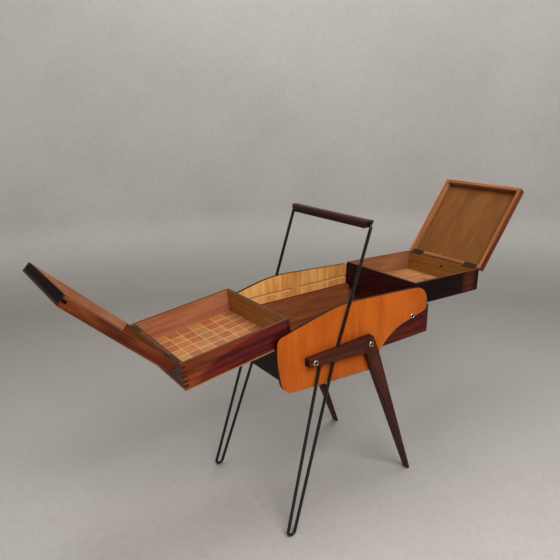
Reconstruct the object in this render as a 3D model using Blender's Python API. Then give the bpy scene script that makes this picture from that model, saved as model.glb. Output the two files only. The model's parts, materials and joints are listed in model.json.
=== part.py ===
"""Sewing box on a stand, with two sliding trays that have hinged lids.

Axes: +X towards the right tray, +Y to the back, +Z up. The origin is on the floor, under the middle of the
whole object as it stands open. Lengths are in millimetres, and MM turns them into metres. Lengths along X are
first counted from the stand's own middle, which MIDDLE_X then shifts to the origin.
"""
import math

import bmesh
import bpy
from mathutils import Matrix, Vector

MM = 0.001
GAP = 0.3            # between pieces that touch
ARC_SAG = 0.12       # how far an arc's chords may leave it
ROUND_SIDES = 12     # of small round pieces
ROD_SIDES = 24
ROUND_END = 0.99     # share of the room at a round end that its two fillets take
BEVEL_ANGLE = 40     # edges sharper than this are rounded
SMOOTH_ANGLE = 35    # edges sharper than this are not shaded smooth
CUT_PAST = 1.0       # how far a cutter runs past the face that it cuts
FAR = 500.0          # past the ends of every piece

# trays: a bottom board under four finger jointed walls
TRAY_LENGTH = 240.5
TRAY_WIDTH = 239.0
TRAY_HEIGHT = 55.0
WALL = 8.0
TRAY_BOTTOM = 3.0
LINING = 0.6
TRAY_FINGERS = 11

# lids: four finger jointed rims under a plywood panel
LID_HEIGHT = 19.5
LID_PANEL = 3.5
LID_FINGERS = 3
LID_GAP = 0.4        # between a closed lid and its tray

# butt hinges, two for each lid
HINGE_OUT = 1.9      # from the tray's end face to the hinge axis
HINGE_LENGTH = 38.0
HINGE_Y = 88.0
LEAF_WIDTH = 7.8
LEAF = 1.2
KNUCKLE_RADIUS = 1.7
KNUCKLE_HALF = 6.0
LEAF_BACK = 0.2      # from the tray's end face back to the leaf's edge
HINGE_PIN_RADIUS = 0.9
HINGE_PIN_IN_LEAF = 3.0
HINGE_BORE_RADIUS = 1.0

# guide pins of the trays, and the grooves that they run in
PIN_RADIUS = 3.0
PIN_FROM_END = 16.5
PIN_ABOVE_BOTTOM = 15.5
PIN_Z = 445.5
PIN_IN_WALL = 6.0
PIN_SLACK = 0.1      # around a guide pin in its tray
GROOVE_SLACK = 0.5
GROOVE_DEPTH = 4.0
MEET_X = 12.5        # where the closed trays meet
MEET_GAP = 1.0

# the open trays: x of the guide pins, slope of the tray, and how far the lid has turned from closed
LEFT = {"name": "left", "side": -1, "pin_x": -194.2, "tilt": 7.3, "lid_open": 128.9}
RIGHT = {"name": "right", "side": 1, "pin_x": 198.7, "tilt": 2.1, "lid_open": 125.3}

# box under the trays
BOX_LEFT = -206.0
BOX_RIGHT = 231.0
BOX_BOTTOM = 355.0
BOX_TOP = 425.7
BOX_FLOOR = 4.0
TRAY_CLEARANCE = 0.5  # under the lowest pass of a tray over the box's end board
RELIEF_LENGTH = 56.0  # of the walls' slope at the left end, under the tipping tray

# side panels
PANEL_INNER_Y = 122.5
PANEL = 7.5
PANEL_CORNERS = [     # x, z and corner radius, clockwise from the upper left
    (-219.6, 453.2, 15), (-55.8, 491.2, 350), (216.0, 477.6, 42), (215.5, 418.3, 14),
    (93.7, 391.6, 130), (35.0, 312.4, 5), (-207.5, 327.4, 36), (-220.6, 410.0, 250),
]

# bent steel rods: hairpin leg and handle upright in one
ROD_RADIUS = 3.5
ROD_FOOT_X = -210.0
ROD_FOOT_Y = 158.0
ROD_BEND = 8.95
ROD_GRIP_BEND = 8.0
ROD_TOP_Z = 650.0
ROD_LEFT_TOP_Z = 389.0
ROD_SPLAY_Z = 365.0
LEAN_LEFT = 0.293    # run in x for each unit of height
LEAN_RIGHT = 0.347
ROD_SLOT = 7.8       # width of the saw cuts in the brackets that hold the rods
ROD_SLOT_LOW_Z = 350.0
ROD_SLOT_ROOM = 2.0  # above the rod's left end

# wooden grip
GRIP_HALF_TOP = 133.0
GRIP_HALF_BOTTOM = 120.6
GRIP_LOW = 642.0
GRIP_HIGH = 660.0
GRIP_WIDTH = 22.0
GRIP_UPPER_ROUND = 9.0
GRIP_LOWER_ROUND = 3.0
GRIP_HOLE_END = 105.0
GRIP_HOLE_ROOM = 2.0  # past the rod's end

# wooden brackets: an arm that butts on the inner edge of a tapered leg
BRACKET = 16.0
BRACKET_CORNERS = [   # x, z and corner radius of arm and leg together, clockwise from the arm's upper left
    (-152.0, 397.0, 3), (27.0, 404.2, 3), (45.0, 363.0, 150), (173.0, 0.0, 1), (164.8, 0.0, 1),
    (8.3, 367.5, 3), (-152.0, 377.8, 3),
]
JOINT_FOOT_X = 161.8  # where the joint's line would meet the floor
JOINT_LEAN = 0.4258  # how far the joint's line runs back in x for each unit of height
EDGE = 1.5           # rounding along the bracket's edges

# screws, each with its cup washer: x and z
BRACKET_SCREWS = {"left": (-136.0, 385.8), "right": (19.9, 385.8)}
PANEL_SCREW = (167.0, 412.5)
SCREW_RADIUS = 1.8
SCREW_HOLE_RADIUS = 2.1
SCREW_TIP_RADIUS = 1.1
SCREW_POINT = 4.0
SCREW_IN_BOX = 5.0   # how far a screw enters the box's wall
CUP_PROFILE = [(6.5, GAP), (6.6, 0.9), (5.6, 2.3), (4.7, 2.6), (4.2, 1.7)]  # radius and height over the face
HEAD_PROFILE = [(3.9, 1.8), (2.4, 2.7), (0, 3.0)]
SCREW_SLOT = 1.0     # width of the slot in a screw's head
SCREW_SLOT_FLOOR = 2.0


def tray_end_x(tray):
    """x of the tray's hinge axis, counted from the stand's middle."""
    slope = math.radians(tray["tilt"])
    along = TRAY_LENGTH - PIN_FROM_END + HINGE_OUT
    up = TRAY_HEIGHT - PIN_ABOVE_BOTTOM + LID_GAP / 2
    return tray["pin_x"] + tray["side"] * (along * math.cos(slope) + up * math.sin(slope))


def lid_corner_x(tray):
    """x of the open lid's outermost corner, counted from the stand's middle."""
    turned = math.radians(tray["tilt"] + tray["lid_open"])
    along = HINGE_OUT + TRAY_LENGTH
    up = LID_GAP / 2 + LID_HEIGHT
    return tray_end_x(tray) + tray["side"] * (-along * math.cos(turned) + up * math.sin(turned))


MIDDLE_X = -(lid_corner_x(LEFT) + lid_corner_x(RIGHT)) / 2
ROD_Y = PANEL_INNER_Y + PANEL + GAP + ROD_RADIUS
BRACKET_INNER_Y = PANEL_INNER_Y + PANEL + GAP
BOX_HALF = PANEL_INNER_Y - GAP


def place_name(tray, side):
    """Front or back, for a side of the tray's own frame. The left tray's frame is turned half round."""
    return "front" if side * tray["side"] < 0 else "back"


def tray_travel(tray):
    """How far the tray slides in, from open to closed."""
    closed_pin = MEET_X + tray["side"] * (MEET_GAP / 2 + PIN_FROM_END)
    return abs(tray["pin_x"] - closed_pin)


def end_board_top(tray, box_end_x):
    """Height of the box's end board, under the lowest pass of the tipping tray."""
    travel = tray_travel(tray)
    lever = abs(box_end_x - tray["pin_x"])
    dip = ((travel + lever) / 2) ** 2 / travel * math.tan(math.radians(tray["tilt"]))
    return PIN_Z - PIN_ABOVE_BOTTOM - dip - TRAY_CLEARANCE


# ---------------------------------------------------------------- modelling helpers

def srgb(red, green, blue):
    """A colour of 0 to 255 for each channel, as the linear values that a shader takes."""
    return tuple((value / 255) ** 2.2 for value in (red, green, blue)) + (1.0,)


def make_material(name, colour, roughness, metallic=0.0):
    material = bpy.data.materials.new(name)
    material.use_nodes = True
    shader = material.node_tree.nodes["Principled BSDF"]
    shader.inputs["Base Color"].default_value = colour
    shader.inputs["Roughness"].default_value = roughness
    shader.inputs["Metallic"].default_value = metallic
    material.diffuse_color = colour
    return material


def fillet(before, here, after, radius):
    """Points of the arc that rounds the corner at here, or the corner itself."""
    if radius == 0:
        return [here]
    back = (before - here).normalized()
    ahead = (after - here).normalized()
    half = back.angle(ahead) / 2
    centre = here + (back + ahead).normalized() * (radius / math.sin(half))
    first = here + back * (radius / math.tan(half)) - centre
    last = here + ahead * (radius / math.tan(half)) - centre
    turn = math.pi - 2 * half
    steps = max(2, math.ceil(turn / (2 * math.acos(1 - ARC_SAG / radius))))
    arc = []
    for step in range(steps + 1):
        part = turn * step / steps
        arc.append(centre + (first * math.sin(turn - part) + last * math.sin(part)) / math.sin(turn))
    return arc


def rounded_outline(corners):
    """A closed outline through corners of (a, b, radius)."""
    points = [Vector(corner[:2]) for corner in corners]
    outline = []
    for index, corner in enumerate(corners):
        after = points[(index + 1) % len(points)]
        outline += fillet(points[index - 1], points[index], after, corner[2])
    return [(point.x, point.y) for point in outline]


def rectangle(a_low, a_high, b_low, b_high):
    return [(a_low, b_low), (a_high, b_low), (a_high, b_high), (a_low, b_high)]


def circle(a, b, radius, sides=ROUND_SIDES):
    turns = [2 * math.pi * (side + 0.5) / sides for side in range(sides)]
    return [(a + radius * math.cos(turn), b + radius * math.sin(turn)) for turn in turns]


def mirrored(outline):
    """The same outline on the other side of a = 0."""
    return [(-a, b) for a, b in reversed(outline)]


def comb_outline(length, low, high, fingers, starts_with_finger):
    """A board's outline, centred on a = 0, with finger joints at both of its ends."""
    step = (high - low) / fingers
    edge = []
    for finger in range(fingers):
        stands_out = (finger % 2 == 0) == starts_with_finger
        reach = length / 2 if stands_out else length / 2 - WALL - GAP
        shrink = GAP / 2 if stands_out else -GAP / 2
        bottom = low + finger * step + (shrink if finger > 0 else 0)
        top = low + (finger + 1) * step - (shrink if finger < fingers - 1 else 0)
        edge += [(reach, bottom), (reach, top)]
    return edge + mirrored(edge)


def prism(outline, low, high, axis):
    """A closed outline extruded from low to high along an axis."""
    place = {
        "X": lambda a, b, along: (along, a, b),
        "Y": lambda a, b, along: (a, along, b),
        "Z": lambda a, b, along: (a, b, along),
    }[axis]
    bm = bmesh.new()
    lower = [bm.verts.new(Vector(place(a, b, low)) * MM) for a, b in outline]
    upper = [bm.verts.new(Vector(place(a, b, high)) * MM) for a, b in outline]
    bm.faces.new(lower)
    bm.faces.new(reversed(upper))
    for index in range(len(outline)):
        bm.faces.new((lower[index - 1], upper[index - 1], upper[index], lower[index]))
    bmesh.ops.recalc_face_normals(bm, faces=bm.faces)
    return bm


def block(x_low, x_high, y_low, y_high, z_low, z_high):
    return prism(rectangle(x_low, x_high, y_low, y_high), z_low, z_high, "Z")


def tube(corners, radius):
    """A round rod along corners of (x, y, z, bend radius)."""
    points = [Vector(corner[:3]) for corner in corners]
    path = [points[0]]
    for index in range(1, len(corners) - 1):
        path += fillet(points[index - 1], points[index], points[index + 1], corners[index][3])
    path.append(points[-1])
    bm = bmesh.new()
    rings = []
    side = Vector((0, 1, 0))
    for index, point in enumerate(path):
        ahead = (path[min(index + 1, len(path) - 1)] - path[max(index - 1, 0)]).normalized()
        side = (side - ahead * side.dot(ahead)).normalized()
        across = ahead.cross(side)
        ring = []
        for a, b in circle(0, 0, radius, ROD_SIDES):
            ring.append(bm.verts.new((point + side * a + across * b) * MM))
        rings.append(ring)
    for ring, following in zip(rings, rings[1:]):
        for index in range(ROD_SIDES):
            bm.faces.new((ring[index - 1], ring[index], following[index], following[index - 1]))
    bm.faces.new(rings[0])
    bm.faces.new(reversed(rings[-1]))
    bmesh.ops.recalc_face_normals(bm, faces=bm.faces)
    return bm


def turned(profile):
    """A profile of (radius, y) turned about the Y axis. It starts and ends on the axis."""
    bm = bmesh.new()
    rings = []
    for radius, along in profile[1:-1]:
        rings.append([bm.verts.new(Vector((a, along, b)) * MM) for a, b in circle(0, 0, radius)])
    for ring, following in zip(rings, rings[1:]):
        for index in range(ROUND_SIDES):
            bm.faces.new((ring[index - 1], ring[index], following[index], following[index - 1]))
    for ring, (_, along) in ((rings[0], profile[0]), (rings[-1], profile[-1])):
        tip = bm.verts.new(Vector((0, along, 0)) * MM)
        for index in range(ROUND_SIDES):
            bm.faces.new((ring[index - 1], ring[index], tip))
    bmesh.ops.recalc_face_normals(bm, faces=bm.faces)
    return bm


def add_object(name, bm, material=None, parent=None):
    mesh = bpy.data.meshes.new(name)
    bm.to_mesh(mesh)
    bm.free()
    piece = bpy.data.objects.new(name, mesh)
    bpy.context.scene.collection.objects.link(piece)
    if material:
        mesh.materials.append(material)
    piece.parent = parent
    return piece


def bake_modifiers(piece):
    """Replace the piece's mesh with the one that its modifiers make."""
    bpy.context.view_layer.update()
    evaluated = piece.evaluated_get(bpy.context.evaluated_depsgraph_get())
    piece.data = bpy.data.meshes.new_from_object(evaluated)
    piece.modifiers.clear()


def combine(piece, tools, operation):
    """Cut the tools from the piece, or join them to it. The tools are in the piece's own frame."""
    helpers = []
    for number, bm in enumerate(tools):
        helper = add_object(f"tool_{number}", bm, parent=piece.parent)
        helper.hide_render = True
        helper.display_type = "WIRE"
        modifier = piece.modifiers.new(f"tool_{number}", "BOOLEAN")
        modifier.operation = operation
        modifier.solver = "EXACT"
        modifier.object = helper
        helpers.append(helper)
    bake_modifiers(piece)
    for helper in helpers:
        bpy.data.objects.remove(helper)


def soften(piece, width):
    """Round the piece's sharp edges."""
    bevel = piece.modifiers.new("edges", "BEVEL")
    bevel.width = width * MM
    bevel.segments = 2
    bevel.limit_method = "ANGLE"
    bevel.angle_limit = math.radians(BEVEL_ANGLE)
    bake_modifiers(piece)


def smooth(piece):
    piece.data.shade_smooth()
    piece.data.set_sharp_from_angle(angle=math.radians(SMOOTH_ANGLE))


def add_empty(name, x, z, parent=None):
    empty = bpy.data.objects.new(name, None)
    bpy.context.scene.collection.objects.link(empty)
    empty.parent = parent
    empty.location = Vector((x, 0, z)) * MM
    return empty


# ---------------------------------------------------------------- box and panels

def screw_holes(places, low, high):
    """Cutters for screws at places of (x, z), through everything from low to high along Y."""
    return [prism(circle(x, z, SCREW_HOLE_RADIUS), low, high, "Y") for x, z in places]


def build_box(stand, materials):
    wood = materials["mahogany"]
    tops = {"left": end_board_top(LEFT, BOX_LEFT), "right": end_board_top(RIGHT, BOX_RIGHT)}
    wall_outline = [(BOX_LEFT, BOX_BOTTOM), (BOX_RIGHT, BOX_BOTTOM), (BOX_RIGHT, BOX_TOP),
                    (BOX_LEFT + RELIEF_LENGTH, BOX_TOP), (BOX_LEFT, tops["left"])]
    for side, place in ((-1, "front"), (1, "back")):
        faces = sorted((side * BOX_HALF, side * (BOX_HALF - WALL)))
        wall = add_object(f"box_{place}_wall", prism(wall_outline, *faces, "Y"), wood, stand)
        hole_ends = sorted((side * (BOX_HALF + CUT_PAST), side * (BOX_HALF - SCREW_IN_BOX - CUT_PAST)))
        combine(wall, screw_holes([*BRACKET_SCREWS.values(), PANEL_SCREW], *hole_ends), "DIFFERENCE")
    inside = BOX_HALF - WALL - GAP
    for place, x_low in (("left", BOX_LEFT), ("right", BOX_RIGHT - WALL)):
        board = block(x_low, x_low + WALL, -inside, inside, BOX_BOTTOM, tops[place])
        add_object(f"box_{place}_end", board, wood, stand)
    inner_left = BOX_LEFT + WALL + GAP
    inner_right = BOX_RIGHT - WALL - GAP
    floor = block(inner_left, inner_right, -inside, inside, BOX_BOTTOM, BOX_BOTTOM + BOX_FLOOR)
    add_object("box_floor", floor, materials["plywood"], stand)


def groove_outline(tray):
    """A stopped groove with round ends, a little longer and wider than the pin's travel."""
    half = PIN_RADIUS + GROOVE_SLACK
    ends = sorted((tray["pin_x"], tray["pin_x"] - tray["side"] * tray_travel(tray)))
    low, high = ends[0] - half, ends[1] + half
    rounding = half * ROUND_END
    return rounded_outline([
        (low, PIN_Z - half, rounding), (high, PIN_Z - half, rounding),
        (high, PIN_Z + half, rounding), (low, PIN_Z + half, rounding),
    ])


def build_panels(stand, materials):
    for side, place in ((-1, "front"), (1, "back")):
        faces = sorted((side * PANEL_INNER_Y, side * (PANEL_INNER_Y + PANEL)))
        panel = add_object(f"{place}_side_panel", prism(rounded_outline(PANEL_CORNERS), *faces, "Y"),
                           materials["veneer"], stand)
        groove_faces = sorted((side * (PANEL_INNER_Y - CUT_PAST), side * (PANEL_INNER_Y + GROOVE_DEPTH)))
        tools = [prism(groove_outline(tray), *groove_faces, "Y") for tray in (LEFT, RIGHT)]
        hole_ends = sorted((side * (PANEL_INNER_Y - CUT_PAST), side * (PANEL_INNER_Y + PANEL + CUT_PAST)))
        tools += screw_holes([*BRACKET_SCREWS.values(), PANEL_SCREW], *hole_ends)
        combine(panel, tools, "DIFFERENCE")


# ---------------------------------------------------------------- stand

def rod_line_x(z, lean, foot_x):
    return foot_x + (z - ROD_RADIUS) * lean


def rod_feet():
    """x of the two legs' lines at the rod's lowest height: left leg, right leg."""
    left_room = ROD_BEND / math.tan((math.pi / 2 - math.atan(LEAN_LEFT)) / 2)
    right_room = ROD_BEND / math.tan((math.pi / 2 + math.atan(LEAN_RIGHT)) / 2)
    middle = ROD_FOOT_X - (left_room - right_room) / 2
    span = left_room + right_room
    return middle - span / 2, middle + span / 2


def build_rods(stand, materials):
    left_foot, right_foot = rod_feet()
    for side, place in ((-1, "front"), (1, "back")):
        upper_y = side * ROD_Y
        foot_y = side * ROD_FOOT_Y
        top_x = rod_line_x(ROD_TOP_Z, LEAN_RIGHT, right_foot)
        corners = [
            (rod_line_x(ROD_LEFT_TOP_Z, LEAN_LEFT, left_foot), upper_y, ROD_LEFT_TOP_Z, 0),
            (rod_line_x(ROD_SPLAY_Z, LEAN_LEFT, left_foot), upper_y, ROD_SPLAY_Z, 0),
            (left_foot, foot_y, ROD_RADIUS, ROD_BEND * ROUND_END),
            (right_foot, foot_y, ROD_RADIUS, ROD_BEND * ROUND_END),
            (rod_line_x(ROD_SPLAY_Z, LEAN_RIGHT, right_foot), upper_y, ROD_SPLAY_Z, 0),
            (top_x, upper_y, ROD_TOP_Z, ROD_GRIP_BEND),
            (top_x, side * (GRIP_HOLE_END + GRIP_HOLE_ROOM), ROD_TOP_Z, 0),
        ]
        rod = add_object(f"{place}_frame_rod", tube(corners, ROD_RADIUS), materials["steel"], stand)
        smooth(rod)


def build_grip(stand, materials):
    x = rod_line_x(ROD_TOP_Z, LEAN_RIGHT, rod_feet()[1])
    half = GRIP_WIDTH / 2
    section = rounded_outline([
        (x - half, GRIP_LOW, GRIP_LOWER_ROUND), (x + half, GRIP_LOW, GRIP_LOWER_ROUND),
        (x + half, GRIP_HIGH, GRIP_UPPER_ROUND), (x - half, GRIP_HIGH, GRIP_UPPER_ROUND),
    ])
    bm = prism(section, -1, 1, "Y")
    slant = (GRIP_HALF_TOP - GRIP_HALF_BOTTOM) / (GRIP_HIGH - GRIP_LOW)
    for vert in bm.verts:
        end = GRIP_HALF_BOTTOM + (vert.co.z / MM - GRIP_LOW) * slant
        vert.co.y = math.copysign(end * MM, vert.co.y)
    grip = add_object("handle_grip", bm, materials["dark_wood"], stand)
    hole = circle(x, ROD_TOP_Z, ROD_RADIUS + GAP)
    for low, high in ((-GRIP_HALF_TOP - CUT_PAST, -GRIP_HOLE_END), (GRIP_HOLE_END, GRIP_HALF_TOP + CUT_PAST)):
        combine(grip, [prism(hole, low, high, "Y")], "DIFFERENCE")
    smooth(grip)


def rod_slot(lean, foot_x, z_low, z_high, side):
    """The saw cut in a bracket's back, along one line of the rod."""
    half = ROD_SLOT / 2 * math.sqrt(1 + lean ** 2)
    outline = []
    for z, offset in ((z_low, -half), (z_low, half), (z_high, half), (z_high, -half)):
        outline.append((rod_line_x(z, lean, foot_x) + offset, z))
    depths = sorted((side * (BRACKET_INNER_Y - CUT_PAST), side * (ROD_Y + ROD_SLOT / 2)))
    return prism(outline, *depths, "Y")


def past_joint(towards, side):
    """Everything on one side of the joint between arm and leg: -1 is the arm's side, 1 the leg's."""
    outline = [(JOINT_FOOT_X - z * JOINT_LEAN - towards * GAP / 2, z) for z in (-FAR, FAR)]
    outline += [(towards * FAR, FAR), (towards * FAR, -FAR)]
    depths = sorted((side * (BRACKET_INNER_Y - CUT_PAST), side * (BRACKET_INNER_Y + BRACKET + CUT_PAST)))
    return prism(outline, *depths, "Y")


def build_brackets(stand, materials):
    left_foot, right_foot = rod_feet()
    for side, place in ((-1, "front"), (1, "back")):
        faces = sorted((side * BRACKET_INNER_Y, side * (BRACKET_INNER_Y + BRACKET)))
        outer_y = BRACKET_INNER_Y + BRACKET
        hole_ends = sorted((side * (BRACKET_INNER_Y - CUT_PAST), side * (outer_y + CUT_PAST)))
        for name, end, other_side in (("bracket_arm", "left", 1), ("wooden_leg", "right", -1)):
            board = prism(rounded_outline(BRACKET_CORNERS), *faces, "Y")
            piece = add_object(f"{place}_{name}", board, materials["dark_wood"], stand)
            soften(piece, EDGE)
            tools = [past_joint(other_side, side), *screw_holes([BRACKET_SCREWS[end]], *hole_ends)]
            if name == "bracket_arm":
                roof = ROD_LEFT_TOP_Z + ROD_SLOT_ROOM
                tools += [rod_slot(LEAN_LEFT, left_foot, ROD_SLOT_LOW_Z, roof, side),
                          rod_slot(LEAN_RIGHT, right_foot, ROD_SLOT_LOW_Z, BOX_TOP, side)]
            combine(piece, tools, "DIFFERENCE")
            smooth(piece)


def build_screw(name, place, side, face_y, length, stand, materials):
    """A round-headed screw in its cup washer, at a place of (x, z) on a face."""
    x, z = place
    shank = [(0, -length), (SCREW_TIP_RADIUS, -length), (SCREW_RADIUS, SCREW_POINT - length), (SCREW_RADIUS, GAP)]
    profile = [(radius, side * height) for radius, height in (*shank, *CUP_PROFILE, *HEAD_PROFILE)]
    screw = add_object(name, turned(profile), materials["brass"], stand)
    half = SCREW_SLOT / 2
    across = CUP_PROFILE[-1][0] + CUT_PAST
    heights = sorted((side * SCREW_SLOT_FLOOR, side * (HEAD_PROFILE[-1][1] + CUT_PAST)))
    slot = prism(rectangle(-across, across, -half, half), *heights, "Y")
    bmesh.ops.rotate(slot, verts=slot.verts, matrix=Matrix.Rotation(math.radians(x), 3, "Y"))
    combine(screw, [slot], "DIFFERENCE")
    smooth(screw)
    screw.location = Vector((x, side * face_y, z)) * MM


def build_screws(stand, materials):
    through_panel = PANEL + GAP + SCREW_IN_BOX
    through_bracket = through_panel + GAP + BRACKET
    for side, place in ((-1, "front"), (1, "back")):
        for end, screw_place in BRACKET_SCREWS.items():
            name = f"{place}_bracket_screw_{end}"
            build_screw(name, screw_place, side, BRACKET_INNER_Y + BRACKET, through_bracket, stand, materials)
        name = f"{place}_panel_screw"
        build_screw(name, PANEL_SCREW, side, PANEL_INNER_Y + PANEL, through_panel, stand, materials)


# ---------------------------------------------------------------- trays and lids

def hinge_leaf(name, y, tabs, z_low, bore, parent, material):
    """A leaf lies along -X from the hinge axis, and tabs lists the y ranges where it reaches the axis."""
    reach = -HINGE_OUT - LEAF_BACK
    end = -HINGE_OUT - LEAF_WIDTH
    half = HINGE_LENGTH / 2
    outline = [(end, -half), (end, half)]
    for low, high in reversed(tabs):
        outline += [(reach, high), (0, high), (0, low), (reach, low)]
    if tabs[0][0] > -half:
        outline.append((reach, -half))
        outline.insert(2, (reach, half))
    plate = prism([(a, b + y) for a, b in outline], z_low, z_low + LEAF, "Z")
    leaf = add_object(name, plate, material, parent)
    combine(leaf, [prism(circle(0, 0, KNUCKLE_RADIUS), low + y, high + y, "Y") for low, high in tabs], "UNION")
    if bore:
        combine(leaf, [prism(circle(0, 0, HINGE_BORE_RADIUS), y - half, y + half, "Y")], "DIFFERENCE")
    else:
        pin_half = KNUCKLE_HALF + HINGE_PIN_IN_LEAF
        combine(leaf, [prism(circle(0, 0, HINGE_PIN_RADIUS), y - pin_half, y + pin_half, "Y")], "UNION")
    smooth(leaf)


def build_hinges(tray, tray_hinge, lid_hinge, metal):
    half = HINGE_LENGTH / 2
    outer_tabs = [(-half, -KNUCKLE_HALF - GAP), (KNUCKLE_HALF + GAP, half)]
    inner_tab = [(-KNUCKLE_HALF, KNUCKLE_HALF)]
    for side in (-1, 1):
        name = f"{tray['name']}_lid_{place_name(tray, side)}_hinge"
        y = side * HINGE_Y
        hinge_leaf(f"{name}_tray_leaf", y, outer_tabs, -LID_GAP / 2 - LEAF, False, tray_hinge, metal)
        hinge_leaf(f"{name}_lid_leaf", y, inner_tab, LID_GAP / 2, True, lid_hinge, metal)


def mortises(x_low, z_low):
    """Room for both leaves in the edge of a board."""
    half = HINGE_LENGTH / 2 + GAP
    x_range = (x_low - CUT_PAST, x_low + WALL + CUT_PAST)
    z_range = (z_low, z_low + LEAF + GAP + CUT_PAST)
    return [block(*x_range, y - half, y + half, *z_range) for y in (-HINGE_Y, HINGE_Y)]


def build_frame(tray, part, board, x_middle, low, high, fingers, parent, material):
    """Four finger jointed boards around a tray or a lid. Returns them by place: -1 and 1, inner and outer."""
    boards = {}
    name = f"{tray['name']}_{part}"
    long_outline = [(a + x_middle, b) for a, b in comb_outline(TRAY_LENGTH, low, high, fingers, True)]
    end_outline = comb_outline(TRAY_WIDTH, low, high, fingers, False)
    for side in (-1, 1):
        faces = sorted((side * TRAY_WIDTH / 2, side * (TRAY_WIDTH / 2 - WALL)))
        board_name = f"{name}_{place_name(tray, side)}_{board}"
        boards[side] = add_object(board_name, prism(long_outline, *faces, "Y"), material, parent)
    for side, place in ((-1, "inner"), (1, "outer")):
        faces = sorted((x_middle + side * TRAY_LENGTH / 2, x_middle + side * (TRAY_LENGTH / 2 - WALL)))
        boards[place] = add_object(f"{name}_{place}_end", prism(end_outline, *faces, "X"), material, parent)
    return boards


def build_tray(tray, pivot, materials):
    """A tray in its own frame: the guide pins' axis at the origin, +X to the tray's outer end."""
    name = f"{tray['name']}_tray"
    inner = -PIN_FROM_END
    outer = inner + TRAY_LENGTH
    middle = (inner + outer) / 2
    low = -PIN_ABOVE_BOTTOM
    high = low + TRAY_HEIGHT
    half = TRAY_WIDTH / 2
    bottom = block(inner, outer, -half, half, low, low + TRAY_BOTTOM)
    add_object(f"{name}_bottom", bottom, materials["plywood"], pivot)
    room = WALL + GAP
    floor = low + TRAY_BOTTOM + GAP
    lining = block(inner + room, outer - room, room - half, half - room, floor, floor + LINING)
    add_object(f"{name}_lining", lining, materials["lining"], pivot)
    boards = build_frame(tray, "tray", "wall", middle, floor, high, TRAY_FINGERS, pivot, materials["mahogany"])
    for side in (-1, 1):
        ends = sorted((side * (half + CUT_PAST), side * (half - PIN_IN_WALL - GAP)))
        combine(boards[side], [prism(circle(0, 0, PIN_RADIUS + PIN_SLACK), *ends, "Y")], "DIFFERENCE")
    combine(boards["outer"], mortises(outer - WALL, high - LEAF - GAP), "DIFFERENCE")


def build_lid(tray, hinge, materials):
    """A lid in its own frame, closed: the hinge axis at the origin, the lid along -X."""
    name = f"{tray['name']}_lid"
    outer = -HINGE_OUT
    inner = outer - TRAY_LENGTH
    low = LID_GAP / 2
    high = low + LID_HEIGHT
    half = TRAY_WIDTH / 2
    wood = materials["mahogany"]
    under_panel = high - LID_PANEL
    add_object(f"{name}_panel", block(inner, outer, -half, half, under_panel, high), wood, hinge)
    middle = (inner + outer) / 2
    boards = build_frame(tray, "lid", "rim", middle, low, under_panel - GAP, LID_FINGERS, hinge, wood)
    combine(boards["outer"], mortises(outer - WALL, low - CUT_PAST), "DIFFERENCE")


def build_pins(tray, parent, metal):
    for side in (-1, 1):
        ends = sorted((side * (TRAY_WIDTH / 2 - PIN_IN_WALL), side * (PANEL_INNER_Y + GROOVE_DEPTH - GAP)))
        name = f"{tray['name']}_tray_{place_name(tray, side)}_guide_pin"
        smooth(add_object(name, prism(circle(0, 0, PIN_RADIUS), *ends, "Y"), metal, parent))


def build_tray_side(tray, stand, materials):
    """Pins, tray and lid, each under an empty on its joint's axis."""
    pins = add_empty(f"{tray['name']}_pins_at", tray["pin_x"], PIN_Z, stand)
    pins.rotation_euler = (0, 0, 0 if tray["side"] > 0 else math.pi)
    pivot = add_empty(f"{tray['name']}_tray_at", 0, 0, pins)
    pivot.rotation_euler = (0, math.radians(tray["tilt"]), 0)
    hinge_x = TRAY_LENGTH - PIN_FROM_END + HINGE_OUT
    hinge_z = TRAY_HEIGHT - PIN_ABOVE_BOTTOM + LID_GAP / 2
    tray_hinge = add_empty(f"{tray['name']}_hinge_at", hinge_x, hinge_z, pivot)
    lid_hinge = add_empty(f"{tray['name']}_lid_at", 0, 0, tray_hinge)
    lid_hinge.rotation_euler = (0, math.radians(tray["lid_open"]), 0)
    build_pins(tray, pins, materials["hinge_metal"])
    build_tray(tray, pivot, materials)
    build_lid(tray, lid_hinge, materials)
    build_hinges(tray, tray_hinge, lid_hinge, materials["hinge_metal"])


def main():
    for item in list(bpy.data.objects):
        bpy.data.objects.remove(item)
    materials = {
        "mahogany": make_material("mahogany", srgb(112, 52, 30), 0.45),
        "dark_wood": make_material("dark_wood", srgb(66, 32, 28), 0.4),
        "veneer": make_material("veneer", srgb(190, 104, 36), 0.35),
        "plywood": make_material("plywood", srgb(196, 160, 112), 0.55),
        "lining": make_material("lining", srgb(196, 124, 84), 0.6),
        "steel": make_material("steel", srgb(24, 22, 22), 0.35, 0.6),
        "brass": make_material("brass", srgb(190, 166, 116), 0.35, 1.0),
        "hinge_metal": make_material("hinge_metal", srgb(150, 138, 120), 0.4, 1.0),
    }
    stand = add_empty("stand_middle", MIDDLE_X, 0)
    build_box(stand, materials)
    build_panels(stand, materials)
    build_rods(stand, materials)
    build_grip(stand, materials)
    build_brackets(stand, materials)
    build_screws(stand, materials)
    for tray in (LEFT, RIGHT):
        build_tray_side(tray, stand, materials)


main()
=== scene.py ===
"""The looks of a sewing box on a stand: woods, metals, printed lining, and a plain studio around it.

Lengths are in metres, in the part's own frame: +X towards the right tray, +Y to the back, +Z up. A texture
on a tray or a lid is laid out in the closed frame, where the tray is level and its lid is shut.
"""
import json
import math

import bmesh
import bpy
from mathutils import Matrix, Vector

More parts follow.
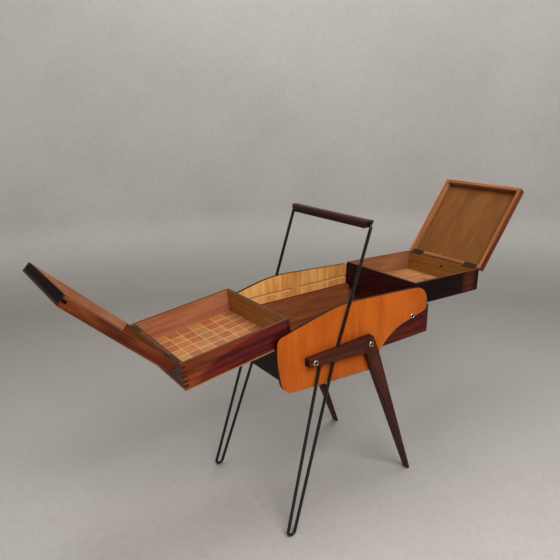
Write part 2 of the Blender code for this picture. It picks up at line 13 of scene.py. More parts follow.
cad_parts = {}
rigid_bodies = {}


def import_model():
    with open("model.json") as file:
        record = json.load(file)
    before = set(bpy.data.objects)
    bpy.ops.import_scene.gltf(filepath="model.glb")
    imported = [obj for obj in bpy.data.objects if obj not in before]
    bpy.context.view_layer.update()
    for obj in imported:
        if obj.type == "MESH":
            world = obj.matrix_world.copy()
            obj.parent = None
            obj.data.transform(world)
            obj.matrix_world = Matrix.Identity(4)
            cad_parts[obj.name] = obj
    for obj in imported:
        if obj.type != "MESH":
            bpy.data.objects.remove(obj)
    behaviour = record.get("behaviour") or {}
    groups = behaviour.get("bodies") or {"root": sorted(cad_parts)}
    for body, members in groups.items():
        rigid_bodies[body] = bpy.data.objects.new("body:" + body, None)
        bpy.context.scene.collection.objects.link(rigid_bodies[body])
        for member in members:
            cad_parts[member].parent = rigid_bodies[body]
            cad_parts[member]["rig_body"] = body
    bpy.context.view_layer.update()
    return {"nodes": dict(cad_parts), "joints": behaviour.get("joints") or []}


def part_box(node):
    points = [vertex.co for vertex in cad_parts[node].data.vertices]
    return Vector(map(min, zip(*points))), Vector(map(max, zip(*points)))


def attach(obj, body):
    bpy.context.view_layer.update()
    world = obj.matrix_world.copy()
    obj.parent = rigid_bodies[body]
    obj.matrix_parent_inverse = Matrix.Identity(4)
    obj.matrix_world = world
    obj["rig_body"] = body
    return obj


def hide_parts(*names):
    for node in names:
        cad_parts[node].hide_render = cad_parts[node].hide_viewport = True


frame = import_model()
nodes = frame["nodes"]
joints = {joint["name"]: joint for joint in frame["joints"]}

MM = 0.001
WALL = 8 * MM            # thickness of the trays' and lids' boards


def srgb(red, green, blue):
    """A colour of 0 to 255 for each channel, as linear values."""
    linear = []
    for value in (red, green, blue):
        part = value / 255
        linear.append(part / 12.92 if part <= 0.04045 else ((part + 0.055) / 1.055) ** 2.4)
    return (*linear, 1.0)


# ---------------------------------------------------------------- closed frames

def turned_to_limit(name):
    """How a joint moves its child as it turns from rest to its limit."""
    joint = joints[name]
    pivot = Matrix.Translation(Vector(joint["pos_m"]))
    turn = Matrix.Rotation(math.radians(joint["range_deg"][1]), 4, Vector(joint["axis"]))
    return pivot @ turn @ pivot.inverted()


def closed_frames():
    """For each body, the move from its rest place to its closed place, slides left out."""
    frames = {"stand": Matrix.Identity(4)}
    for side in ("left", "right"):
        tilt = turned_to_limit(f"{side}_tray_tilt")
        frames[f"{side}_pins"] = Matrix.Identity(4)
        frames[f"{side}_tray"] = tilt
        frames[f"{side}_lid"] = tilt @ turned_to_limit(f"{side}_lid_hinge")
    return frames


CLOSED = closed_frames()
BODY_OF = {name: node["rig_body"] for name, node in nodes.items()}


def closed_box(names):
    """Lowest and highest corner of some nodes of one body, in its closed frame."""
    points = []
    for name in names:
        closed = CLOSED[BODY_OF[name]]
        points += [closed @ vert.co for vert in nodes[name].data.vertices]
    low = Vector([min(point[axis] for point in points) for axis in range(3)])
    high = Vector([max(point[axis] for point in points) for axis in range(3)])
    return low, high


# ---------------------------------------------------------------- node trees

# The Mix node holds sockets for every data type. These are the places of the ones used here.
MIX_FACTOR = 0
MIX_FIRST_VALUE, MIX_SECOND_VALUE, MIX_VALUE = 2, 3, 0
MIX_FIRST_COLOUR, MIX_SECOND_COLOUR, MIX_COLOUR = 6, 7, 2


class Graph:
    """A new material's node tree, with short calls for the nodes used here."""

    def __init__(self, name):
        self.material = bpy.data.materials.new(name)
        self.material.use_nodes = True
        self.tree = self.material.node_tree
        self.shader = self.tree.nodes["Principled BSDF"]

    def feed(self, socket, value):
        if isinstance(value, bpy.types.NodeSocket):
            self.tree.links.new(value, socket)
        else:
            socket.default_value = value

    def add(self, kind, settings, inputs):
        """A new node, with its settings, and with values or links on its inputs."""
        node = self.tree.nodes.new(kind)
        for name, value in settings.items():
            setattr(node, name, value)
        for name, value in inputs.items():
            self.feed(node.inputs[name], value)
        return node

    def math(self, operation, first, second=0.0):
        return self.add("ShaderNodeMath", {"operation": operation}, {0: first, 1: second}).outputs[0]

    def vector_math(self, operation, first, inputs):
        """The outputs of a vector operation: "Vector", or "Value" for a number."""
        return self.add("ShaderNodeVectorMath", {"operation": operation}, {0: first, **inputs}).outputs

    def swing(self, value, amount):
        """From half the amount below 0 to half the amount above it, as value goes from 0 to 1."""
        return self.math("MULTIPLY", self.math("SUBTRACT", value, 0.5), amount)

    def step(self, value, low, high, to_low=0.0, to_high=1.0):
        """Smoothly from to_low to to_high as value goes from low to high."""
        inputs = {"Value": value, "From Min": low, "From Max": high, "To Min": to_low, "To Max": to_high}
        node = self.add("ShaderNodeMapRange", {"interpolation_type": "SMOOTHSTEP"}, inputs)
        return node.outputs["Result"]

    def mix(self, factor, first, second):
        """The first colour where factor is 0, and the second where it is 1."""
        inputs = {MIX_FACTOR: factor, MIX_FIRST_COLOUR: first, MIX_SECOND_COLOUR: second}
        return self.add("ShaderNodeMix", {"data_type": "RGBA"}, inputs).outputs[MIX_COLOUR]

    def choose(self, factor, first, second):
        """The first value where factor is 0, and the second where it is 1."""
        inputs = {MIX_FACTOR: factor, MIX_FIRST_VALUE: first, MIX_SECOND_VALUE: second}
        return self.add("ShaderNodeMix", {"data_type": "FLOAT"}, inputs).outputs[MIX_VALUE]

    def white(self, vector):
        """A random value for each different vector."""
        node = self.add("ShaderNodeTexWhiteNoise", {"noise_dimensions": "3D"}, {"Vector": vector})
        return node.outputs["Value"]

    def ramp(self, value, stops, interpolation="LINEAR"):
        """A colour by value: stops are (position, colour)."""
        node = self.add("ShaderNodeValToRGB", {}, {"Fac": value})
        ramp = node.color_ramp
        ramp.interpolation = interpolation
        while len(ramp.elements) < len(stops):
            ramp.elements.new(0.5)
        for element, (position, colour) in zip(ramp.elements, stops):
            element.position = position
            element.color = colour
        return node.outputs["Color"]

    def noise(self, vector, scale, detail, roughness=0.5, distortion=0.0):
        inputs = {"Vector": vector, "Scale": scale, "Detail": detail, "Roughness": roughness,
                  "Distortion": distortion}
        return self.add("ShaderNodeTexNoise", {}, inputs).outputs["Fac"]

    def moved(self, vector, matrix, kind="POINT"):
        """A vector carried by a rigid move."""
        turn = matrix.to_euler()
        inputs = {"Vector": vector, "Rotation": turn}
        if kind == "POINT":
            inputs["Location"] = matrix.to_translation()
        return self.add("ShaderNodeMapping", {"vector_type": kind}, inputs).outputs["Vector"]

    def scaled(self, vector, scale, offset=(0, 0, 0)):
        inputs = {"Vector": vector, "Scale": scale, "Location": offset}
        return self.add("ShaderNodeMapping", {"vector_type": "POINT"}, inputs).outputs["Vector"]

    def parts(self, vector):
        return self.add("ShaderNodeSeparateXYZ", {}, {"Vector": vector}).outputs

    def places(self, closed):
        """Where a point is in the closed frame, and which way its surface faces there."""
        coordinates = self.add("ShaderNodeTexCoord", {}, {}).outputs
        return self.moved(coordinates["Object"], closed), self.moved(coordinates["Normal"], closed, "VECTOR")

    def bump(self, height, distance, strength):
        node = self.add("ShaderNodeBump", {}, {"Height": height, "Distance": distance, "Strength": strength})
        self.feed(self.shader.inputs["Normal"], node.outputs["Normal"])

    def finish(self, colour, roughness, **fixed):
        """The colour and roughness, and values that are the same all over."""
        self.feed(self.shader.inputs["Base Color"], colour)
        self.feed(self.shader.inputs["Roughness"], roughness)
        for name, value in fixed.items():
            self.shader.inputs[name.replace("_", " ")].default_value = value
        return self.material


# ---------------------------------------------------------------- wood

class Tones:
    """Dark, middle and light colours of a wood, its pores, and its end grain."""

    def __init__(self, dark, middle, light, pore, end):
        self.dark, self.middle, self.light = srgb(*dark), srgb(*middle), srgb(*light)
        self.pore, self.end = srgb(*pore), srgb(*end)


# Dark, middle, light, pores, end grain.
WINE_OUTSIDE = Tones((70, 12, 12), (94, 21, 18), (116, 34, 20), (42, 8, 9), (78, 30, 18))
BROWN_OUTSIDE = Tones((104, 44, 14), (128, 60, 20), (146, 76, 30), (64, 22, 10), (72, 30, 18))
BLACK_OUTSIDE = Tones((13, 1, 3), (19, 2, 5), (31, 6, 8), (9, 1, 2), (38, 12, 10))
PLUM_OUTSIDE = Tones((46, 14, 19), (58, 20, 26), (70, 27, 29), (30, 10, 13), (54, 22, 18))
EDGE_BROWN = Tones((82, 45, 21), (98, 55, 28), (112, 67, 36), (60, 32, 17), (82, 44, 24))
REDDISH_OUTSIDE = Tones((58, 22, 14), (82, 34, 20), (96, 46, 26), (40, 14, 10), (50, 20, 14))
SALMON_INSIDE = Tones((146, 90, 62), (164, 106, 76), (180, 124, 92), (112, 62, 42), (120, 62, 36))
TAN_INSIDE = Tones((134, 86, 58), (150, 101, 71), (164, 118, 84), (104, 58, 36), (110, 58, 34))
OCHRE_INSIDE = Tones((132, 88, 38), (148, 103, 48), (162, 118, 60), (106, 62, 26), (110, 62, 32))
HONEY_INSIDE = Tones((166, 118, 60), (184, 137, 74), (200, 153, 88), (136, 85, 43), (110, 62, 32))
BROWN_INSIDE = Tones((96, 45, 19), (112, 58, 25), (128, 71, 35), (70, 30, 12), (92, 42, 22))
LID_OUTSIDE = Tones((92, 40, 15), (112, 55, 21), (130, 72, 32), (60, 22, 11), (66, 26, 17))
LID_BRIGHT_OUTSIDE = Tones((118, 60, 24), (140, 76, 31), (158, 96, 46), (74, 30, 14), (76, 32, 20))
LID_RED_STREAK = Tones((72, 20, 10), (88, 28, 13), (104, 40, 18), (46, 14, 9), (56, 20, 14))
# painted shade: the left lid's free end board is coloured darker, as if it lay in shadow
LID_END_PAINTED_SHADE = Tones((25, 11, 11), (32, 15, 14), (42, 22, 19), (18, 8, 8), (34, 14, 12))
LID_INSIDE = Tones((152, 104, 76), (170, 122, 92), (186, 140, 108), (118, 72, 50), (118, 64, 42))
LID_PLY = Tones((117, 75, 37), (128, 84, 42), (139, 93, 50), (102, 63, 30), (132, 78, 40))
LID_EDGE = Tones((112, 58, 25), (128, 70, 32), (142, 84, 44), (84, 42, 20), (100, 52, 26))
LID_BRIGHT_EDGE = Tones((140, 84, 48), (158, 100, 60), (174, 116, 74), (104, 58, 32), (120, 64, 36))
BOX_OUTSIDE = Tones((74, 22, 13), (92, 30, 18), (108, 42, 24), (48, 13, 9), (62, 22, 14))
BOX_INSIDE = Tones((136, 84, 52), (156, 98, 62), (172, 114, 76), (100, 54, 32), (112, 60, 36))
# painted shade: the box's left end board is coloured darker than the right one, as if it lay in shadow
BOX_END_PAINTED_SHADE = Tones((40, 21, 17), (50, 28, 22), (61, 36, 27), (28, 14, 12), (44, 23, 18))
GRIP_STAIN = Tones((46, 20, 17), (57, 27, 23), (68, 35, 29), (36, 13, 12), (48, 22, 18))
DARK_STAIN = Tones((62, 25, 17), (77, 33, 23), (91, 42, 30), (46, 16, 12), (60, 27, 20))
ORANGE_VENEER = Tones((175, 86, 17), (189, 98, 20), (203, 110, 28), (164, 76, 14), (120, 60, 20))
GOLD_VENEER = Tones((208, 146, 80), (227, 169, 99), (242, 192, 122), (186, 122, 62), (150, 96, 48))
TRAY_PLY = Tones((150, 100, 60), (176, 124, 78), (196, 146, 96), (120, 76, 42), (236, 184, 136))
FLOOR_PLY = Tones((103, 54, 23), (119, 66, 29), (133, 80, 38), (84, 40, 17), (140, 88, 48))
KNOT = Tones((34, 14, 8), (44, 20, 12), (60, 28, 16), (24, 10, 6), (40, 18, 12))

WAVE_LENGTH = 0.314      # length of one wave of a wave texture at scale 1


def stretched(axis, across, along):
    """Scale of a pattern that is stretched out along an axis."""
    return tuple(along if axis == name else across for name in "XYZ")


def wood_colour(graph, tone, tones):
    """A wood's colour for a tone of 0 to 1."""
    stops = [(0.0, tones.dark), (0.5, tones.middle), (1.0, tones.light)]
    return graph.ramp(graph.step(tone, 0.3, 0.7), stops)


def grain(graph, place, facing, axis, tones, seed, figure=0.15, ring_gap=7 * MM):
    """Colour, height and tone of a board's grain. Growth rings run round an axis outside the board. Figure is
    how strongly they show."""
    offset = (seed * 0.37, seed * 0.61, seed * 0.23)
    shifted = graph.scaled(place, (1, 1, 1), offset)

    def along(amount):
        return graph.scaled(shifted, stretched(axis, 1, amount))

    patches = graph.noise(along(0.35), 11, 3, 0.5, 0.8)
    streaks = graph.noise(along(0.1), 110, 3, 0.6, 0.3)
    ring_settings = {"wave_type": "RINGS", "rings_direction": axis, "wave_profile": "SIN"}
    rings = graph.add("ShaderNodeTexWave", ring_settings, {
        "Vector": along(0.08), "Scale": WAVE_LENGTH / ring_gap, "Distortion": 9.0, "Detail": 3.0,
        "Detail Scale": 0.5, "Detail Roughness": 0.6,
        "Phase Offset": graph.math("MULTIPLY", patches, 14.0)}).outputs["Fac"]
    fibre = graph.noise(along(0.05), 600, 3, 0.6)
    pores = graph.step(graph.noise(along(0.08), 1300, 1, 0.4), 0.6, 0.74)
    tone = graph.math("ADD", graph.math("MULTIPLY", patches, 0.7), graph.math("MULTIPLY", streaks, 0.3))
    tone = graph.math("ADD", tone, graph.swing(rings, figure))
    tone = graph.math("ADD", tone, graph.swing(fibre, 0.25))
    colour = graph.mix(graph.math("MULTIPLY", pores, 0.5), wood_colour(graph, tone, tones), tones.pore)
    end_on = graph.math("ABSOLUTE", graph.parts(facing)[axis])
    specks = graph.noise(shifted, 1500, 1)
    end_colour = graph.mix(graph.step(specks, 0.45, 0.7), tones.end, tones.pore)
    end_colour = graph.mix(graph.math("MULTIPLY", rings, 0.25), end_colour, tones.middle)
    colour = graph.mix(graph.step(end_on, 0.75, 0.95), colour, end_colour)
    height = graph.math("SUBTRACT", graph.math("MULTIPLY", fibre, 0.35), pores)
    return colour, height, tone


def marked(graph, place, colour, tone, marks):
    """Patches of another tone, such as heartwood or a knot. Each has a centre, a reach along each axis, its
    tones, and how soft its edge is."""
    for centre, reach, tones, softness in marks:
        offset = tuple(-value / size for value, size in zip(centre, reach))
        inner = graph.scaled(place, tuple(1 / size for size in reach), offset)
        away = graph.vector_math("LENGTH", inner, {})["Value"]
        away = graph.math("ADD", away, graph.swing(graph.noise(inner, 1.6, 3), 1.2 * softness))
        mask = graph.step(away, 1 - softness, 1 + softness, 1.0, 0.0)
        colour = graph.mix(mask, colour, wood_colour(graph, tone, tones))
    return colour


def finish_wood(graph, colour, height, tone, gloss):
    """A varnished surface: gloss is 0 for bare wood and 1 for a thick varnish."""
    graph.bump(height, 0.12 * MM, 0.5 - 0.3 * gloss)
    roughness = graph.step(tone, 0.3, 0.7, 0.6 - 0.22 * gloss, 0.54 - 0.26 * gloss)
    shine = 0.08 + 0.2 * gloss
    coat = 0.05 * gloss
    return graph.finish(colour, roughness, Specular_IOR_Level=shine, Coat_Weight=coat, Coat_Roughness=0.12)


def board(name, axis, tones, seed, gloss=0.5, closed=None):
    """A board of one wood. A closed frame is given for a board that lies askew."""
    graph = Graph(f"{name}_wood")
    place, facing = graph.places(closed if closed is not None else CLOSED[BODY_OF[name]])
    colour, height, tone = grain(graph, place, facing, axis, tones, seed)
    return finish_wood(graph, colour, height, tone, gloss)


def within(graph, place, low, high, inset):
    """1 where a point lies inside an upright box's four sides, set in by inset."""
    x, y, _ = graph.parts(place)
    mask = 1.0
    for value, axis in ((x, 0), (y, 1)):
        middle = (low[axis] + high[axis]) / 2
        half = (high[axis] - low[axis]) / 2 - inset
        reach = graph.math("ABSOLUTE", graph.math("SUBTRACT", value, middle))
        mask = graph.math("MULTIPLY", graph.math("LESS_THAN", reach, half), mask)
    return mask


def two_faced_board(name, axis, tones, seed, container, gloss=0.5, inner_marks=(), outer_marks=()):
    """A board of a box, tray or lid. Its tones are for the inside, the outside and the edge at the
    opening."""
    inner, outer, rim = tones
    graph = Graph(f"{name}_wood")
    place, facing = graph.places(CLOSED[BODY_OF[name]])
    inner_colour, _, inner_tone = grain(graph, place, facing, axis, inner, seed, 0.08)
    outer_colour, height, tone = grain(graph, place, facing, axis, outer, seed + 3, 0.2)
    inner_colour = marked(graph, place, inner_colour, inner_tone, inner_marks)
    outer_colour = marked(graph, place, outer_colour, tone, outer_marks)
    inside = within(graph, place, *container, WALL - 0.4 * MM)
    colour = graph.mix(inside, outer_colour, inner_colour)
    level = graph.step(graph.math("ABSOLUTE", graph.parts(facing)["Z"]), 0.7, 0.95)
    colour = graph.mix(level, colour, wood_colour(graph, tone, rim))
    return finish_wood(graph, colour, height, tone, gloss)


def lid_panel(name, outside, seed):
    """Plywood: plain inside, and the lid's own wood on top and round its edges."""
    graph = Graph(f"{name}_wood")
    place, facing = graph.places(CLOSED[BODY_OF[name]])
    inner_colour, _, _ = grain(graph, place, facing, "X", LID_PLY, seed, 0.04)
    outer_colour, height, tone = grain(graph, place, facing, "X", outside, seed + 3, 0.2)
    down = graph.step(graph.parts(facing)["Z"], -0.9, -0.7, 1.0, 0.0)
    return finish_wood(graph, graph.mix(down, outer_colour, inner_colour), height, tone, 0.6)


# ---------------------------------------------------------------- other surfaces

PANEL_EDGE = srgb(30, 19, 15)
# painted highlight: a pale line on the panel's rounded arris, standing in for light catching the edge
PANEL_EDGE_HIGHLIGHT = srgb(226, 168, 104)
BARE_WOOD = srgb(244, 208, 140)
GROOVE_HALF_HEIGHT = 4.2 * MM
GROOVE_DEPTH = 4.4 * MM
GROOVES_REACH = 200 * MM  # the grooves end nearer to the middle than this


def panel_veneer(name, seed):
    """Side panel: orange veneer outside, golden veneer inside, black edges, bare wood in the grooves."""
    graph = Graph(f"{name}_veneer")
    place, facing = graph.places(CLOSED["stand"])
    x, y, z = graph.parts(place)
    outer_colour, height, tone = grain(graph, place, facing, "Z", ORANGE_VENEER, seed, 0.05, 16 * MM)
    inner_colour, _, _ = grain(graph, place, facing, "Z", GOLD_VENEER, seed + 5, 0.12, 12 * MM)
    low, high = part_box(name)
    middle_y = (abs(low.y) + abs(high.y)) / 2
    inner_y = min(abs(low.y), abs(high.y))
    reach = graph.math("ABSOLUTE", y)
    colour = graph.mix(graph.math("LESS_THAN", reach, middle_y), outer_colour, inner_colour)
    flat = graph.math("ABSOLUTE", graph.parts(facing)["Y"])
    # painted highlight along the rounded arris between the flat face and the black edge
    colour = graph.mix(graph.step(flat, 0.97, 0.995, 0.8, 0.0), colour, PANEL_EDGE_HIGHLIGHT)
    colour = graph.mix(graph.step(flat, 0.5, 0.7, 1.0, 0.0), colour, PANEL_EDGE)
    pin_z = joints["left_tray_tilt"]["pos_m"][2]
    off_groove = graph.math("ABSOLUTE", graph.math("SUBTRACT", z, pin_z))
    bare = graph.math("LESS_THAN", off_groove, GROOVE_HALF_HEIGHT)
    bare = graph.math("MULTIPLY", bare, graph.math("GREATER_THAN", reach, inner_y + 0.2 * MM))
    bare = graph.math("MULTIPLY", bare, graph.math("LESS_THAN", reach, inner_y + GROOVE_DEPTH))
    bare = graph.math("MULTIPLY", bare, graph.math("LESS_THAN", graph.math("ABSOLUTE", x), GROOVES_REACH))
    colour = graph.mix(graph.math("MULTIPLY", bare, 0.7), colour, BARE_WOOD)
    graph.bump(height, 0.08 * MM, 0.25)
    roughness = graph.step(tone, 0.3, 0.7, 0.42, 0.32)
    return graph.finish(colour, roughness, Specular_IOR_Level=0.2, Coat_Weight=0.04, Coat_Roughness=0.15)


LINING_SQUARES = 8       # each way
LINING_STRIPS = 3.0      # in each square
STRIP_SPREAD = 7.3       # keeps the strips' random shades apart from square to square
LINING_TONES = [(160, 102, 58), (172, 116, 62), (158, 94, 56), (170, 126, 72), (158, 116, 74), (174, 120, 68)]
LINING_STRIP_TONE = srgb(150, 88, 58)
LINING_FLECK_TONE = srgb(222, 182, 146)
LINING_LINE_TONE = srgb(206, 168, 130)


def lining_strips(graph, x, y, column, row, cell):
    """A random shade for each thin strip. The strips of one square run across those of the next."""
    parity = graph.math("FRACT", graph.math("MULTIPLY", graph.math("ADD", column, row), 0.5))
    across = graph.choose(graph.math("GREATER_THAN", parity, 0.25), x, y)
    strip = graph.math("FLOOR", graph.math("MULTIPLY", across, LINING_STRIPS))
    place = graph.vector_math("ADD", cell, {1: (0, 0, 1)})["Vector"]
    place = graph.vector_math("SCALE", place, {"Scale": STRIP_SPREAD})["Vector"]
    return graph.white(graph.vector_math("ADD", place, {1: strip})["Vector"])


def printed_lining(name, seed):
    """Printed film: squares in warm tones, each made of thin strips, with pale lines between them."""
    graph = Graph(f"{name}_print")
    place, _ = graph.places(CLOSED[BODY_OF[name]])
    low, high = closed_box([name])
    scale = (LINING_SQUARES / (high.x - low.x), LINING_SQUARES / (high.y - low.y), 1)
    squares = graph.scaled(place, scale, (-low.x * scale[0], -low.y * scale[1], 0))
    x, y, _ = graph.parts(squares)
    column = graph.math("FLOOR", x)
    row = graph.math("FLOOR", y)
    cell = graph.add("ShaderNodeCombineXYZ", {}, {"X": column, "Y": row, "Z": seed}).outputs["Vector"]
    stops = [(index / len(LINING_TONES), srgb(*tone)) for index, tone in enumerate(LINING_TONES)]
    colour = graph.ramp(graph.white(cell), stops, "CONSTANT")
    shade = lining_strips(graph, x, y, column, row, cell)
    colour = graph.mix(graph.step(shade, 0.2, 1.0, 0.0, 0.4), colour, LINING_STRIP_TONE)
    fleck = graph.noise(graph.scaled(place, (300, 1400, 1)), 1, 2)
    colour = graph.mix(graph.step(fleck, 0.5, 0.8, 0.0, 0.3), colour, LINING_FLECK_TONE)
    line = 0.0
    for value, start in ((x, 0.472), (y, 0.458)):
        near = graph.math("ABSOLUTE", graph.math("SUBTRACT", graph.math("FRACT", value), 0.5))
        line = graph.math("MAXIMUM", graph.step(near, start, start + 0.014), line)
    colour = graph.mix(line, colour, LINING_LINE_TONE)
    graph.bump(graph.math("MULTIPLY", line, -1.0), 0.05 * MM, 0.5)
    return graph.finish(colour, 0.42, Specular_IOR_Level=0.4, Coat_Weight=0.15, Coat_Roughness=0.3)


def black_rod(name):
    """Round bar with a gloss black coat that is a little uneven."""
    graph = Graph(f"{name}_paint")
    place, _ = graph.places(CLOSED["stand"])
    patches = graph.noise(place, 90, 3)
    wear = graph.step(graph.noise(place, 420, 3, 0.6), 0.66, 0.78)
    colour = graph.mix(graph.step(patches, 0.3, 0.7), srgb(16, 14, 14), srgb(30, 27, 26))
    colour = graph.mix(graph.math("MULTIPLY", wear, 0.5), colour, srgb(74, 64, 56))
    graph.bump(graph.noise(place, 700, 2), 0.05 * MM, 0.35)
    return graph.finish(colour, graph.step(patches, 0.3, 0.7, 0.24, 0.38), Specular_IOR_Level=0.6)


def old_metal(name, bright, dull, closed, roughness):
    """Metal with dull patches and a few dark spots."""
    graph = Graph(name)
    place, _ = graph.places(closed)
    patches = graph.noise(place, 260, 4, 0.6)
    spots = graph.step(graph.noise(place, 900, 2), 0.6, 0.75)
    colour = graph.mix(graph.step(patches, 0.35, 0.7), srgb(*bright), srgb(*dull))
    colour = graph.mix(graph.math("MULTIPLY", spots, 0.5), colour, srgb(64, 50, 34))
    graph.bump(graph.noise(graph.scaled(place, (1, 8, 1)), 500, 2), 0.04 * MM, 0.4)
    rough = graph.step(patches, 0.3, 0.75, roughness, roughness + 0.25)
    return graph.finish(colour, rough, Metallic=0.9)


# ---------------------------------------------------------------- putting materials on nodes

BOARD_EDGE = 0.5 * MM    # how far the boards' edges are rounded


def give(name, material, bevel=0.0, segments=3):
    """The node's material, and its rounded edges."""
    node = nodes[name]
    node.data.materials.clear()
    node.data.materials.append(material)
    if bevel:
        rounding = node.modifiers.new("rounded_edges", "BEVEL")
        rounding.width = bevel
        rounding.segments = segments
        rounding.limit_method = "ANGLE"
        rounding.angle_limit = math.radians(30)
        rounding.harden_normals = True
        rounding.use_clamp_overlap = True


def tray_marks(side, container):
    """Heartwood and knots on a tray's boards, by board: marks on its inside, and on its outside."""
    low, high = container
    height = high.z - low.z
    if side == "left":
        low_inner_corner = Vector((high.x, low.y, low.z))
        heartwood = (low_inner_corner, (216 * MM, 140 * MM, 57 * MM), WINE_OUTSIDE, 0.07)
        knot_centre = Vector((high.x - WALL, 45 * MM, low.z + 0.66 * height))
        small_knot = (knot_centre, (4 * MM, 2 * MM, 1.6 * MM), KNOT, 0.5)
        return {"front_wall": ((), (heartwood,)), "inner_end": ((small_knot,), ())}
    patch_centre = Vector((high.x - 34 * MM, low.y, low.z + 0.45 * height))
    patch = (patch_centre, (22 * MM, 30 * MM, 34 * MM), REDDISH_OUTSIDE, 0.8)
    knot_centre = Vector((high.x - WALL, -6 * MM, low.z + 0.68 * height))
    big_knot = (knot_centre, (4 * MM, 3.4 * MM, 3 * MM), KNOT, 0.4)
    return {"front_wall": ((), (patch,)), "outer_end": ((big_knot,), ())}


TRAY_TONES = {  # by side and board: inside and outside
    "left": {"front_wall": (SALMON_INSIDE, BROWN_OUTSIDE), "back_wall": (SALMON_INSIDE, WINE_OUTSIDE),
             "inner_end": (HONEY_INSIDE, PLUM_OUTSIDE), "outer_end": (BROWN_INSIDE, WINE_OUTSIDE)},
    "right": {"front_wall": (TAN_INSIDE, BLACK_OUTSIDE), "back_wall": (TAN_INSIDE, BLACK_OUTSIDE),
              "inner_end": (TAN_INSIDE, PLUM_OUTSIDE), "outer_end": (OCHRE_INSIDE, BLACK_OUTSIDE)},
}


def boards_of(body):
    return [name for name, owner in BODY_OF.items() if owner == body and "hinge" not in name]


def dress_tray(side, seed):
    container = closed_box(boards_of(f"{side}_tray"))
    marks = tray_marks(side, container)
    gloss, bottom_tones = (0.8, TRAY_PLY) if side == "left" else (0.3, PLUM_OUTSIDE)
    for place, axis in (("front_wall", "X"), ("back_wall", "X"), ("inner_end", "Y"), ("outer_end", "Y")):
        name = f"{side}_tray_{place}"
        seed += 1
        tones = (*TRAY_TONES[side][place], EDGE_BROWN)
        inner_marks, outer_marks = marks.get(place, ((), ()))
        material = two_faced_board(name, axis, tones, seed, container, gloss, inner_marks, outer_marks)
        give(name, material, BOARD_EDGE)
    give(f"{side}_tray_bottom", board(f"{side}_tray_bottom", "X", bottom_tones, seed + 1, 0.3), 0.3 * MM, 2)
    give(f"{side}_tray_lining", printed_lining(f"{side}_tray_lining", float(seed)))


def dress_lid(side, seed):
    container = closed_box(boards_of(f"{side}_lid"))
    low, high = container
    middle = (low + high) / 2
    hinge_x = low.x if side == "left" else high.x
    streak_centre = Vector(((middle.x + hinge_x) / 2, low.y, high.z))
    streak = (streak_centre, (110 * MM, 12 * MM, 12 * MM), LID_RED_STREAK, 0.35)
    dark_corner = (Vector((hinge_x, low.y, middle.z)), (60 * MM, 12 * MM, 30 * MM), LID_RED_STREAK, 0.5)
    outside, edge = (LID_OUTSIDE, LID_EDGE) if side == "left" else (LID_BRIGHT_OUTSIDE, LID_BRIGHT_EDGE)
    for place, axis in (("front_rim", "X"), ("back_rim", "X"), ("inner_end", "Y"), ("outer_end", "Y")):
        name = f"{side}_lid_{place}"
        seed += 1
        tones = [LID_INSIDE, outside, edge]
        # the left lid's free end gets painted shade on its outside and edges, and no gloss
        if side == "left" and place == "inner_end":
            tones[1:] = [LID_END_PAINTED_SHADE, LID_END_PAINTED_SHADE]
        if side == "left" and place == "outer_end":
            tones[0] = BROWN_INSIDE
        outer_marks = (streak, dark_corner) if place == "front_rim" else ()
        gloss = 0.0 if LID_END_PAINTED_SHADE in tones else 0.7
        material = two_faced_board(name, axis, tones, seed, container, gloss, (), outer_marks)
        give(name, material, BOARD_EDGE)
    name = f"{side}_lid_panel"
    give(name, lid_panel(name, outside, seed + 1), 0.6 * MM)


def dress_stand():
    for index, place in enumerate(("front", "back")):
        give(f"{place}_side_panel", panel_veneer(f"{place}_side_panel", 2.0 + index), 1.1 * MM, 5)
        give(f"{place}_frame_rod", black_rod(f"{place}_frame_rod"))
        give(f"{place}_bracket_arm", board(f"{place}_bracket_arm", "X", DARK_STAIN, 5 + index, 0.7))
        low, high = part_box(f"{place}_wooden_leg")
        lean = Matrix.Rotation(-math.atan2(high.z - low.z, high.x - low.x), 4, "Y")
        give(f"{place}_wooden_leg", board(f"{place}_wooden_leg", "X", DARK_STAIN, 8 + index, 0.7, lean))
    box_names = [name for name in nodes if name.startswith("box_")]
    container = closed_box(box_names)
    for index, place in enumerate(("front", "back")):
        name = f"box_{place}_wall"
        tones = (BOX_INSIDE, BOX_OUTSIDE, BOX_OUTSIDE)
        give(name, two_faced_board(name, "X", tones, 11 + index, container), BOARD_EDGE)
    # the left end's outside gets painted shade; the right end keeps the box's own outside tones
    for index, (place, outer) in enumerate((("left", BOX_END_PAINTED_SHADE), ("right", BOX_OUTSIDE))):
        name = f"box_{place}_end"
        tones = (BOX_INSIDE, outer, BOX_OUTSIDE)
        give(name, two_faced_board(name, "Y", tones, 14 + index, container), BOARD_EDGE)
    give("box_floor", board("box_floor", "X", FLOOR_PLY, 17, 0.2), 0.3 * MM)
    give("handle_grip", board("handle_grip", "Y", GRIP_STAIN, 19, 0.8), 1.0 * MM)


# ---------------------------------------------------------------- screws

LATHE_SIDES = 48


def join_rings(bm, rings):
    """Faces between each ring of points and the next."""
    for ring, following in zip(rings, rings[1:]):
        for side in range(len(ring)):
            bm.faces.new((ring[side - 1], ring[side], following[side], following[side - 1]))


